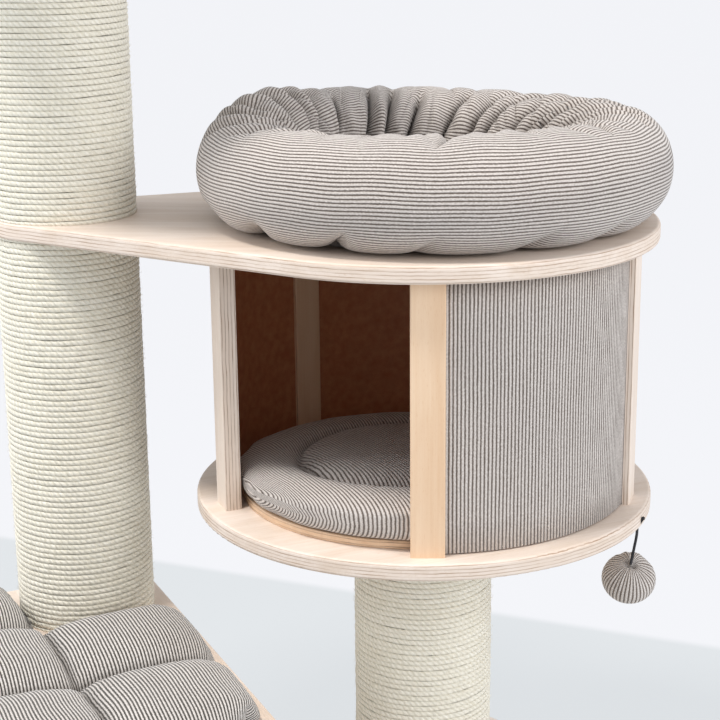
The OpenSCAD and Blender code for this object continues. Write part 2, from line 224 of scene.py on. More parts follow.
def sisal():
    """Three-strand sisal, read from the rope's own coordinates."""
    made, add = new_material("sisal_rope")
    rope = add("UVMap", uv_map="lay")
    u = add("SeparateXYZ", {"Vector": rope}, out="X")
    v = add("SeparateXYZ", {"Vector": rope}, out="Y")
    turn_of_strand = add("Math", {0: v, 1: 3.0}, operation="MULTIPLY")
    run = add("Math", {0: u, 1: STRAND_REPEAT}, operation="DIVIDE")
    lay = add("Math", {0: run, 1: turn_of_strand}, operation="ADD")
    ply = add("CombineXYZ", {"X": u, "Y": lay, "Z": v})
    loose = stretched_noise(add, ply, (60.0, 0.7, 2.0), 3.0)
    loose = add("MapRange", {"Value": loose, "To Min": -0.35, "To Max": 0.35})
    lay = add("Math", {0: lay, 1: loose}, operation="ADD")
    part = off_centre(add, lay)
    ridge = add("MapRange", {"Value": part, "From Min": 0.5, "From Max": 0.08}, **SMOOTH)
    fibre = stretched_noise(add, ply, (130.0, 9.0, 3.0), 4.0, Roughness=0.7)
    patch = stretched_noise(add, ply, (7.0, 0.03, 0.0), 3.0)
    pale = add("Mix", {"Factor": patch, 6: colour("#fffdf5"), 7: colour("#f6f1e2")}, out=2,
         data_type="RGBA")
    fibre_tone = add("MapRange", {"Value": fibre, "From Min": 0.38, "From Max": 0.72,
                                  "To Min": 0.0, "To Max": 0.8})
    pale = add("Mix", {"Factor": fibre_tone, 6: pale, 7: colour("#d2cab0")}, **BLEND)
    # Painted shade: the hollow between two strands is darkened in colour
    strand_shade = add("MapRange", {"Value": ridge, "To Min": 0.24, "To Max": 0.0})
    tone = add("Mix", {"Factor": strand_shade, 6: pale, 7: colour("#b3aa8d")}, **BLEND)
    # Painted shade: the groove between two turns is darkened in short uneven dashes, where the turns do not
    # quite touch
    side = add("Math", {0: v}, operation="ABSOLUTE")
    gap_shade = add("MapRange", {"Value": side, "From Min": 0.16, "From Max": 0.23}, **SMOOTH)
    dash = stretched_noise(add, rope, (95.0, 0.6, 0.0), 4.0, Roughness=0.6)
    dash = add("MapRange", {"Value": dash, "From Min": 0.46, "From Max": 0.58,
                            "To Min": 0.05, "To Max": 1.0})
    gap_shade = add("Math", {0: gap_shade, 1: dash}, operation="MULTIPLY")
    tone = add("Mix", {"Factor": gap_shade, 6: tone, 7: colour("#5f573e")}, **BLEND)
    height = add("Math", {0: fibre, 1: ridge}, operation="MULTIPLY")
    height = add("Math", {0: height, 1: ridge}, operation="ADD")
    bump = add("Bump", {"Height": height, "Strength": 0.6, "Distance": 0.8 * MM})
    finish_material(add, add("BsdfPrincipled", {
        "Base Color": tone, "Roughness": 0.78, "Normal": bump,
        "Sheen Weight": 0.15, "Sheen Roughness": 0.5}))
    return made


# %% [markdown]
# ### Corduroy
#
# Corduroy is a cut-pile cotton: soft ridges, the wales, stand on the ground between them. The ground's
# colour is part the cloth's own and part painted shade, which darkens the grooves. The wales here are 3.8 mm
# apart. They follow the cloth, so the pattern reads each piece's own coordinates in metres: x counts across
# the wales and y runs along them. The pile catches light at a glancing angle, which is the sheen.

# %% Corduroy
WALE = 3.8 * MM


def corduroy(name, pale="#e6e0db", ground_and_shade="#62574f", depth=0.8, pile_width=0.32):
    """Wide-wale corduroy, read from the piece's own coordinates."""
    made, add = new_material(name)
    cloth = add("UVMap", uv_map="cloth")
    drift = stretched_noise(add, cloth, (90.0, 28.0, 0.0), 2.0)
    drift = add("MapRange", {"Value": drift, "To Min": -0.16, "To Max": 0.16})
    x = add("SeparateXYZ", {"Vector": cloth}, out="X")
    wale = add("Math", {0: x, 1: WALE}, operation="DIVIDE")
    wale = add("Math", {0: wale, 1: drift}, operation="ADD")
    fuzz = stretched_noise(add, cloth, (700.0, 520.0, 0.0), 1.0)
    fuzz = add("MapRange", {"Value": fuzz, "To Min": -0.13, "To Max": 0.13})
    wale = add("Math", {0: wale, 1: fuzz}, operation="ADD")
    part = off_centre(add, wale)
    near, far = pile_width + 0.13, pile_width - 0.15
    ridge = add("MapRange", {"Value": part, "From Min": near, "From Max": far}, **SMOOTH)
    pile = stretched_noise(add, cloth, (1500.0, 480.0, 0.0), 2.0, Roughness=0.7)
    worn = stretched_noise(add, cloth, (16.0, 9.0, 0.0), 3.0)
    worn = add("MapRange", {"Value": worn, "From Min": 0.3, "From Max": 0.7, "To Min": 0.0, "To Max": 0.35})
    pile_tone = add("MapRange", {"Value": pile, "From Min": 0.3, "From Max": 0.7,
                                 "To Min": 0.0, "To Max": 0.85})
    top = add("Mix", {"Factor": worn, 6: colour(pale), 7: colour("#d2cac4")}, **BLEND)
    top = add("Mix", {"Factor": pile_tone, 6: top, 7: colour("#a69c95")}, **BLEND)
    # Painted shade: the ground between the wales is much darker than the pile, partly the weave's own colour
    # and partly shade in the grooves
    tone = add("Mix", {"Factor": ridge, 6: colour(ground_and_shade), 7: top}, **BLEND)
    # Painted shade: the colour darkens in deep folds and along seams, where shade falls
    fold = add("Attribute", attribute_name="fold", out="Fac")
    tone = add("Mix", {"Factor": fold, 6: tone, 7: colour("#3a322c")}, **BLEND)
    height = add("Math", {0: pile, 1: 0.25}, operation="MULTIPLY")
    height = add("Math", {0: height, 1: ridge}, operation="ADD")
    bump = add("Bump", {"Height": height, "Strength": depth, "Distance": 0.9 * MM})
    finish_material(add, add("BsdfPrincipled", {
        "Base Color": tone, "Roughness": 0.9, "Normal": bump, "Specular IOR Level": 0.3,
        "Sheen Weight": 0.35, "Sheen Roughness": 0.45}))
    return made


# %% [markdown]
# ### Hardboard, steel, rubber, board tube and elastic
#
# Hardboard is pressed wood fibre: red-brown, smooth on one side, with short darker and paler fibres in it.
# The steel is zinc-plated, the pads are soft rubber, the tubes are wound board, and the cord is braided
# elastic.


# %% The small finishes
def speckled(name, base, spot, scale, share, roughness, metallic=0.0, bump_mm=0.2, stretch=(1, 1, 1)):
    """A mottled finish: scale is its spots in a metre, share how far they turn to the spot colour."""
    made, add = new_material(name)
    place = add("TexCoord", out="Object")
    place = add("VectorMath", {0: place, 1: stretch}, operation="MULTIPLY")
    fine = add("TexNoise", {"Vector": place, "Scale": scale, "Detail": 4.0, "Roughness": 0.65})
    broad = add("TexNoise", {"Vector": place, "Scale": scale / 14, "Detail": 2.0})
    both = add("Math", {0: fine, 1: broad}, operation="MULTIPLY")
    tone = add("MapRange", {"Value": both, "From Min": 0.14, "From Max": 0.4,
                            "To Min": 0.0, "To Max": share})
    tint = add("Mix", {"Factor": tone, 6: colour(base), 7: colour(spot)}, **BLEND)
    rough = add("MapRange", {"Value": fine, "To Min": roughness - 0.1, "To Max": roughness + 0.1})
    bump = add("Bump", {"Height": fine, "Strength": 0.4, "Distance": bump_mm * MM})
    finish_material(add, add("BsdfPrincipled", {
        "Base Color": tint, "Roughness": rough, "Metallic": metallic, "Normal": bump}))
    return made


hardboard = speckled("hardboard", "#aa6642", "#cf9a6e", 1500.0, 0.5, 0.58, bump_mm=0.12)
zinc_steel = speckled("zinc_plated_steel", "#b9bcc0", "#9a9da3", 900.0, 0.7, 0.34, metallic=1.0,
                      bump_mm=0.05)
pad_rubber = speckled("black_rubber", "#232323", "#343332", 500.0, 0.6, 0.72)
tube_board = speckled("wound_board_tube", "#a58a66", "#84694a", 240.0, 0.8, 0.85, stretch=(1, 1, 6))
elastic = speckled("braided_elastic", "#17171a", "#3a3a40", 1400.0, 0.9, 0.7, bump_mm=0.3)
print("finishes:", [m.name for m in bpy.data.materials])

# %% [markdown]
# ## Finishes for the CAD parts
#
# The boards lie flat, so their plies stack along Z. A slat is a strip stood on end: its plies stack away
# from the cave's middle, so its wide face is one clean veneer and its sides show the lines.

# %% Boards
FLAT_BOARDS = {
    "base_board": (1, 0, 0), "seat_board": (0, 1, 0), "cave_floor": (1, 0, 0),
    "upper_platform": (0.86, -0.51, 0), "top_platform": (0, 1, 0), "cave_mat": (1, 0, 0),
}


def paint(name, material):
    """Gives a CAD node one material."""
    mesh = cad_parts[name].data
    mesh.materials.clear()
    mesh.materials.append(material)


for name, grain in FLAT_BOARDS.items():
    low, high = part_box(name)
    face = HONEY_BIRCH if name == "cave_mat" else PALE_BIRCH
    paint(name, plywood("birch_ply_" + name, (0, 0, 1), low.z, grain, face, PLY_LINE,
                        thick=high.z - low.z))
print("flat boards:", len(FLAT_BOARDS))

# %% Slats
PALE_SLATS = ("slat_door_left", "slat_right")
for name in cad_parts:
    if name.startswith("slat_"):
        out = middle(name) - cave
        out.z = 0
        inner = out.length - BOARD / 2 + cave.to_2d().dot(out.normalized().to_2d())
        face = PALE_BIRCH if name in PALE_SLATS else HONEY_BIRCH
        paint(name, plywood("birch_ply_" + name, out, inner, (0, 0, 1), face, SLAT_LINE, 0.8))
        print(name, "plies start", round(inner, 4), "m out")

# %% Hidden and small parts
plug_ply = plywood("birch_ply_plugs", (0, 0, 1), 0.0, (1, 0, 0), PALE_BIRCH, PLY_LINE)
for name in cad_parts:
    if name.endswith(("_plugs", "_dowels")):
        paint(name, plug_ply)
    elif name.endswith("_tube"):
        paint(name, tube_board)
    elif name.endswith(("_bolts", "_washers", "_rods", "_screws", "_nuts")):
        paint(name, zinc_steel)
    elif name.startswith("panel_"):
        paint(name, hardboard)
paint("base_pads", pad_rubber)
paint("toy_knot", elastic)
print("materials:", len(bpy.data.materials))

# %% [markdown]
# ## Pieces
#
# A new piece is shaped in a bmesh, turned to a mesh, and put on the body that it moves with. Its own
# coordinates are written to a UV layer, so the cloth and the rope know which way they run.


# %% Helpers for pieces
def piece(name, bm, material, body, replaces, smooth=True):
    """Makes an object from a bmesh, gives it a finish, and joins it to the frame."""
    mesh = bpy.data.meshes.new(name)
    bm.to_mesh(mesh)
    bm.free()
    made = bpy.data.objects.new(name, mesh)
    scene.collection.objects.link(made)
    mesh.materials.append(material)
    for polygon in mesh.polygons:
        polygon.use_smooth = smooth
    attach(made, body)
    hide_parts(*replaces)
    return made


def points_of(mesh):
    """A mesh's points as an array."""
    flat = np.empty(len(mesh.vertices) * 3)
    mesh.vertices.foreach_get("co", flat)
    return flat.reshape(-1, 3)


def move_points(mesh, points):
    """Writes the points back."""
    mesh.vertices.foreach_set("co", points.ravel())
    mesh.update()


def write_uv(mesh, layer, uv):
    """Writes one (u, v) for each point to a UV layer."""
    corner = np.empty(len(mesh.loops), dtype=np.int32)
    mesh.loops.foreach_get("vertex_index", corner)
    made = mesh.uv_layers.new(name=layer)
    made.data.foreach_set("uv", uv[corner].ravel())


def write_painted_shade(mesh, values):
    """Writes how much painted shade each point gets, from 0 to 1, in folds and along seams, for the corduroy
    to read.
    """
    made = mesh.attributes.new("fold", "FLOAT", "POINT")
    made.data.foreach_set("value", np.clip(values, 0, 1).astype(np.float32))


def waves(a, b, seed, count=7, low=1.0, high=6.0):
    """Smooth uneven values from -1 to 1, from sums of waves over a and b."""
    rng = np.random.default_rng(seed)
    total = np.zeros(np.broadcast(a, b).shape)
    for _ in range(count):
        fa, fb = rng.uniform(low, high, 2) * rng.choice([-1, 1], 2)
        total += np.sin(fa * a + fb * b + rng.uniform(0, TURN))
    return total / count**0.5 / 1.5


# %% [markdown]
# ### Rope on the posts
#
# The rope is wound round the board tube from bottom to top. A stack of circles, one for each turn, is spun
# once round the post while it rises by one turn, and the joints close up, so it becomes one long rope. The
# turns then get small uneven gaps, because a hand-wound post is never quite even. Short loose fibres stand
# off it.

# %% Wind the posts
ROPE_PITCH = 6.1 * MM
ROPE_SIDES, ROPE_STEPS = 10, 108
ROPE_GAP = 0.2 * MM  # from the rope's outside to the post's outline
FIBRES = 1900  # loose fibres on one post
FIBRE_LENGTH, FIBRE_RISE, FIBRE_HALF = (4, 15), (0.3, 2.6), 0.14 * MM  # the first two in millimetres
FIBRE_ROOT = 0.7 * MM  # how deep in the rope a fibre starts
sisal_rope = sisal()


def add_fibres(bm, radius, height, seed):
    """Adds short loose fibres that stand off the rope's surface; each is a ribbon of three faces."""
    rng = np.random.default_rng(seed)
    for _ in range(FIBRES):
        bearing, z = rng.uniform(0, TURN), rng.uniform(0.004, height - 0.004)
        length, off = rng.uniform(*FIBRE_LENGTH) * MM, rng.uniform(*FIBRE_RISE) * MM
        tilt = rng.normal(0, 0.6)
        rows = []
        for share in (0.0, 0.35, 0.7, 1.0):
            turned = bearing + share * length * math.cos(tilt) / radius
            level = min(max(z + share * length * math.sin(tilt), 0.0005), height - 0.0005)
            out = radius - FIBRE_ROOT + (off + FIBRE_ROOT) * math.sin(share * 2.4)
            x, y = out * math.cos(turned), out * math.sin(turned)
            wide = FIBRE_HALF * (1.2 - share)
            rows.append((bm.verts.new((x, y, level - wide)), bm.verts.new((x, y, level + wide))))
        for (a, b), (c, d) in zip(rows, rows[1:]):
            bm.faces.new((a, c, d, b)).smooth = True


def wound_post(post, seed):
    """Winds rope over one post's tube."""
    low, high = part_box(post)
    centre, radius, tall = (low + high) / 2, (high.x - low.x) / 2, high.z - low.z
    turns = round(tall / ROPE_PITCH)
    pitch = tall / turns
    thick = pitch / 2
    middle_r = radius - thick - ROPE_GAP
    bm = bmesh.new()
    upright = Matrix.Rotation(math.radians(90), 4, "X")
    for k in range(-1, turns):
        spot = Matrix.Translation((middle_r, 0, pitch * (k + 0.5)))
        bmesh.ops.create_circle(bm, segments=ROPE_SIDES, radius=thick, matrix=spot @ upright)
    bmesh.ops.spin(bm, geom=bm.verts[:] + bm.edges[:], cent=(0, 0, 0), axis=(0, 0, 1),
                   dvec=(0, 0, pitch / ROPE_STEPS), angle=TURN, steps=ROPE_STEPS)
    bmesh.ops.remove_doubles(bm, verts=bm.verts[:], dist=0.05 * MM)
    bmesh.ops.recalc_face_normals(bm, faces=bm.faces[:])
    made = piece("wound_" + post, bm, sisal_rope, "frame", [post])
    mesh = made.data
    p = points_of(mesh)
    angle = np.arctan2(p[:, 1], p[:, 0]) % TURN
    share = angle / TURN
    turn_no = np.round((p[:, 2] / pitch - 0.5) - share) + share
    around = np.arctan2(p[:, 2] - pitch * (turn_no + 0.5), np.hypot(p[:, 0], p[:, 1]) - middle_r)
    # Rope wound tight is squeezed to a rounded square; it varies in thickness and wanders a little
    thin = thick * (1.02 - 0.05 * waves(turn_no * 9.1, 0 * angle, seed + 2, 12, 1, 8))
    dr = thin * np.sign(np.cos(around)) * np.abs(np.cos(around)) ** 0.85
    dz = thin * np.sign(np.sin(around)) * np.abs(np.sin(around)) ** 0.54
    level = pitch * (turn_no + 0.5) + 0.30 * MM * waves(turn_no * 2.1, angle, seed, 9, 0.5, 3)
    level += 0.22 * MM * waves(turn_no * 11.3, angle * 3, seed + 3, 9, 1, 6)
    r = middle_r + dr + 0.34 * MM * waves(turn_no * 7.3, angle * 4, seed + 1, 12, 1, 8)
    p[:, 0], p[:, 1] = r * np.cos(angle), r * np.sin(angle)
    p[:, 2] = np.clip(level + dz, 0.1 * MM, tall - 0.1 * MM)
    move_points(mesh, p)
    bm = bmesh.new()
    bm.from_mesh(mesh)
    add_fibres(bm, radius, tall, seed + 4)
    bm.to_mesh(mesh)
    bm.free()
    spare = len(mesh.vertices) - len(p)
    move_points(mesh, points_of(mesh) + np.array([centre.x, centre.y, low.z]))
    lay = np.stack([turn_no * TURN * middle_r, around / TURN], 1)
    write_uv(mesh, "lay", np.concatenate([lay, np.zeros((spare, 2))]))
    print(post, "turns", turns, "faces", len(mesh.polygons))


ROPES = [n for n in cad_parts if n.endswith("_rope")]
for number, post in enumerate(sorted(ROPES)):
    wound_post(post, 10 + number)

# %% [markdown]
# ### Corduroy on the cave's panels
#
# The cloth is glued flat on the panels, with its wales upright. A wale stands only 0.7 mm proud, but on a
# curved wall that shows along the edge, so the wales are real: a line is spun along the panel in fine
# steps, and the steps rise and fall.

# %% Panel covers
WALL_WALE = WALE * 1.04  # the glued cloth is stretched a little
WALE_RISE, GROUND_DEPTH, CLOTH = 0.7 * MM, 0.75 * MM, 1.2 * MM
ROWS, STEPS_A_WALE = 9, 6
wall_cord = corduroy("corduroy_wall_cloth", depth=0.45)
for name in sorted(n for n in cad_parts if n.startswith("cover_")):
    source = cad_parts[name].data
    p = points_of(source)
    flat = p[:, :2] - np.array(cave.to_2d())
    low_z, high_z = p[:, 2].min(), p[:, 2].max()
    outer = np.hypot(flat[:, 0], flat[:, 1]).max()
    mid = math.atan2(flat[:, 1].mean(), flat[:, 0].mean())
    side = (np.arctan2(flat[:, 1], flat[:, 0]) - mid + np.pi) % TURN - np.pi
    start, end = mid + side.min(), mid + side.max()
    wales = round((end - start) * outer / WALL_WALE)
    bm = bmesh.new()
    line = [bm.verts.new((outer * math.cos(start), outer * math.sin(start), z))
            for z in np.linspace(low_z, high_z, ROWS)]
    edges = [bm.edges.new(pair) for pair in zip(line, line[1:])]
    bmesh.ops.spin(bm, geom=line + edges, cent=(0, 0, 0), axis=(0, 0, 1), dvec=(0, 0, 0),
                   angle=end - start, steps=wales * STEPS_A_WALE)
    bmesh.ops.recalc_face_normals(bm, faces=bm.faces[:])
    made = piece("cloth_" + name, bm, wall_cord, "frame", [name])
    p = points_of(made.data)
    turned = (np.arctan2(p[:, 1], p[:, 0]) - start + 0.01) % TURN - 0.01
    run = turned * outer
    wander = 0.5 * MM * waves(run * 22, p[:, 2] * 22, len(name), 6, 0.5, 2)
    phase = (run + wander) / (run.max() / wales)
    out = outer - GROUND_DEPTH + WALE_RISE * np.abs(np.sin(np.pi * phase)) ** 0.6
    bearing = start + turned
    p[:, 0], p[:, 1] = out * np.cos(bearing) + cave.x, out * np.sin(bearing) + cave.y
    move_points(made.data, p)
    write_uv(made.data, "cloth", np.stack([phase * WALE, p[:, 2]], 1))
    wall = made.modifiers.new("cloth thickness", "SOLIDIFY")
    wall.thickness, wall.offset = CLOTH, -1
    print(made.name, "wales", wales)

# %% [markdown]
# ## Cushions
#
# A filled cushion swells between its seams and is held down along them. Each one starts as a closed skin in
# roughly the right form. Blender's cloth then blows it up: the seams and the underside are pinned, air
# pressure pushes the rest out, and gravity is off. The move is capped, so the cushion keeps its size.


# %% Helpers for cushions
STRETCH, SHEAR, BEND = 12.0, 4.0, 0.4  # how stiff the corduroy is
GAP = 0.3 * MM  # between a cushion and the board under it


def swell(made, held, pressure, frames, cap_mm):
    """Blows a skin up with cloth; held is 1 where a point is sewn or rests on a board, and 0 elsewhere."""
    before = points_of(made.data)
    group = made.vertex_groups.new(name="held")
    group.add(np.nonzero(held > 0.5)[0].tolist(), 1.0, "REPLACE")
    cloth = made.modifiers.new("cloth", "CLOTH")
    s = cloth.settings
    s.quality, s.mass, s.air_damping = 4, 0.15, 4.0
    s.tension_stiffness = s.compression_stiffness = STRETCH
    s.shear_stiffness, s.bending_stiffness = SHEAR, BEND
    s.use_pressure, s.uniform_pressure_force = True, pressure
    s.vertex_group_mass, s.pin_stiffness = "held", 1.0
    s.effector_weights.gravity = 0.0
    cloth.point_cache.frame_start, cloth.point_cache.frame_end = 1, frames
    for f in range(1, frames + 1):
        scene.frame_set(f)
    shown = made.evaluated_get(bpy.context.evaluated_depsgraph_get())
    after = points_of(shown.data)
    move = after - before
    size = np.linalg.norm(move, axis=1, keepdims=True)
    move *= np.minimum(1.0, cap_mm * MM / np.maximum(size, 1e-9))
    made.modifiers.remove(cloth)
    made.vertex_groups.remove(group)
    scene.frame_set(1)
    move_points(made.data, before + move)
    print(made.name, "swelled by up to", round(float(size.max()) * 1000, 1), "mm")


def step(x, low, high):
    """0 below low, 1 above high, and a smooth rise between."""
    t = np.clip((x - low) / (high - low), 0, 1)
    return t * t * (3 - 2 * t)


# %% [markdown]
# ### The round bed
#
# The bed's wall is a straight tube of corduroy, bent to a ring. Its outside is smooth, and the wales run
# round it. The inside has only half the way to go, so the spare cloth gathers in deep pleats, which start
# on the crest and run down inside. Underneath, a few tucks draw the outside in.

# %% Helpers for folds
def creases_at(seed, gap):
    """Angles of the creases round the ring, with uneven gaps."""
    rng = np.random.default_rng(seed)
    made = [rng.uniform(0, gap[0])]
    while made[-1] < TURN + made[0] - gap[1]:
        made.append(made[-1] + rng.uniform(*gap))
    return np.array(made)


def between(angles, seed, turned, low, high):
    """For each turned angle: its share of the way from one crease to the next, and a value for it, which is
    drawn from low to high at every crease and runs evenly from one crease to the next."""
    rng = np.random.default_rng(seed)
    drawn = rng.uniform(low, high, len(angles))
    places = np.concatenate([angles, [angles[0] + TURN]])
    drawn = np.concatenate([drawn, drawn[:1]])
    spot = (turned - angles[0]) % TURN + angles[0]
    k = np.clip(np.searchsorted(places, spot, "right") - 1, 0, len(angles) - 1)
    share = (spot - places[k]) / (places[k + 1] - places[k])
    return share, drawn[k] * (1 - share) + drawn[k + 1] * share


def close_to(theta, degrees, spread):
    """1 at an angle round the ring, falling to 0 over the spread in degrees."""
    away = np.degrees((theta - math.radians(degrees) + np.pi) % TURN - np.pi)
    return np.exp(-((away / spread) ** 2))


# %% The ring's skin
bed = middle("bed_bolster")
RING_R, HALF_W, HALF_H = 0.1935, 0.0565, 0.058  # the ring's radius, and half its section's width and height
AROUND, SECTION = 520, 96
bm = bmesh.new()
upright = Matrix.Translation((RING_R, 0, 0)) @ Matrix.Rotation(math.radians(90), 4, "X")
bmesh.ops.create_circle(bm, segments=SECTION, radius=HALF_W, matrix=upright)
bmesh.ops.spin(bm, geom=bm.verts[:] + bm.edges[:], cent=(0, 0, 0), axis=(0, 0, 1), dvec=(0, 0, 0),
               angle=TURN, steps=AROUND, use_merge=True)
bmesh.ops.recalc_face_normals(bm, faces=bm.faces[:])
bed_cord = corduroy("corduroy_bed")
ring = piece("bed_ring", bm, bed_cord, "bed", ["bed_bolster"])
p = points_of(ring.data)
theta = np.arctan2(p[:, 1], p[:, 0]) % TURN
phi = np.arctan2(p[:, 2], np.hypot(p[:, 0], p[:, 1]) - RING_R)
phi = np.where(phi < -np.pi / 2, phi + TURN, phi)  # 0 outside, 90 degrees on the crest, 180 inside
deg = np.degrees(phi)
print("ring points", len(p))

# %% [markdown]
# #### The folds
#
# Theta goes round the ring and phi round its section, so a fold is a groove that starts at some phi and
# runs down inside. Deep folds come at uneven gaps and lean a little, with finer ones between them. At the
# left and the right the cloth is bundled, and the folds start further out.

# %% Deep folds
LEFT_END, RIGHT_END = 158, 338  # where the folds are bundled, in degrees
FLOOR_SIDE = (-66, 248)  # the section's part that rests on the roof
bundle = close_to(theta, LEFT_END, 26) + close_to(theta, RIGHT_END, 24)
swell_r = 1 + 0.04 * waves(theta, 0 * theta, 3, 6, 1, 4) * step(deg, -40, 40)
inner = creases_at(21, (0.12, 0.29))
turned = theta - (0.17 + 0.08 * np.sin(2 * theta + 1.9)) * (phi - math.radians(120))
share, fold_depth = between(inner, 22, turned, 14, 33)
_, fold_start = between(inner, 23, turned, 52, 92)
fold_start = fold_start - 42 * bundle
window = step(deg, fold_start, fold_start + 42) * (1 - step(deg, 208, 238))
crease = (1 - np.abs(np.sin(np.pi * share)) ** 0.42) * window
fold = fold_depth * MM * crease
held = (crease > 0.6).astype(float)
# Painted shade: the deepest part of each crease is darkened in colour
crease_shade = step(crease, 0.34, 0.8) * 0.95
print("deep folds", len(inner))

# %% Finer creases, puckers and tucks
fine = creases_at(41, (0.045, 0.13))
share, fine_depth = between(fine, 42, theta + 0.2 * np.sin(3 * theta) * (phi - 2), 0.5, 5.5)
fine_window = step(deg, 72 - 30 * bundle, 118) * (1 - step(deg, 205, 235))
fine_crease = (1 - np.abs(np.sin(np.pi * share)) ** 0.7) * fine_window
fold += fine_depth * MM * fine_crease * (0.6 + 0.7 * bundle)
# Painted shade in the finer creases too
crease_shade = np.maximum(crease_shade, step(fine_crease, 0.45, 0.9) * 0.1 * fine_depth * (0.5 + bundle))
pucker = creases_at(51, (0.10, 0.34))  # on the crest
share, pucker_depth = between(pucker, 52, theta + 0.1 * (phi - 1.2), 0.5, 5)
fold += (pucker_depth * MM * np.exp(-np.minimum(share, 1 - share) * 9) * step(deg, 48, 84)
         * (1 - step(deg, 96, 130)))
tuck = creases_at(8, (0.34, 0.66))  # underneath
share, tuck_depth = between(tuck, 9, theta - 0.15 * (phi + 1), 6, 14)
fold += tuck_depth * MM * np.exp(-np.minimum(share, 1 - share) * 8) * (1 - step(deg, -62, -20))
print("fine creases", len(fine), "puckers", len(pucker), "tucks", len(tuck))

# %% [markdown]
# #### The section and the swelling
#
# The section is nearly a circle, and its top rises and sags round the ring. The underside lies flat on the
# roof. Cloth then rounds the ring between the deep folds, which are held.

# %% Shape and swell the ring
small = waves(theta * 9, phi * 1.2, 31, 10, 1, 5) * step(deg, 55, 110) * (1 - step(deg, 225, 260))
radius = swell_r - fold / HALF_W + 0.03 * small
inner_lobe = 0.10 * step(deg, 100, 150) * (1 - step(deg, 215, 250))
across = HALF_W * np.sign(np.cos(phi)) * np.abs(np.cos(phi)) ** 0.9 * (radius + inner_lobe)
up = HALF_H * np.sin(phi) * radius
lumps = 2.6 * waves(theta, 0 * theta, 91, 6, 1, 3.4) + 1.3 * waves(theta * 5, phi, 92, 8, 1, 4)
lumps += 13 * close_to(theta, 132, 24) + 5 * close_to(theta, 82, 26) - 2 * close_to(theta, 15, 24)
lift = HALF_H - 2 * MM + lumps * MM * step(deg, 10, 80)
z = lift + up
z = np.where(z < 6 * MM, 6 * MM - 6 * MM * np.tanh((6 * MM - z) / (8 * MM)), z)  # pressed flat
r = RING_R + across
p = np.stack([r * np.cos(theta) + bed.x, r * np.sin(theta) + bed.y, z + roof_top + GAP], 1)
move_points(ring.data, p)
held = np.maximum(held, (deg < FLOOR_SIDE[0]) | (deg > FLOOR_SIDE[1]))
swell(ring, held, pressure=2.2, frames=6, cap_mm=6)
p = points_of(ring.data)
p[:, 2] = np.maximum(p[:, 2], roof_top + GAP)
move_points(ring.data, p)
lean = 0.9 * MM * waves(theta * 6, phi, 77, 8, 0.5, 4) * (1 + 2 * step(deg, 70, 120))
write_uv(ring.data, "cloth", np.stack([phi * 1.02 * HALF_W + lean, theta * 0.22], 1))
write_painted_shade(ring.data, crease_shade)
print("bed ring faces", len(ring.data.polygons))


# %% [markdown]
# ### Round cushions
#
# The cave cushion, the pad inside the bed and the cushion on the top platform are the same thing in three
# sizes: a round pillow with a ring of stitches. A profile is spun round, and the wales run straight over it
# from front to back, down over the edge, as cloth cut in one piece does.

# %% Round cushions
BACK = (0.55, 0.835)  # the way from the cave's door to its back
PROFILE_POINTS, PILLOW_STEPS, FLATNESS = 46, 200, 0.02
CAVE_ROOM, DOOR_ROOM = 0.2205, 0.012  # the room inside the walls, and what the door adds
DOOR_AT, DOOR_SPREAD = 210, 16  # degrees


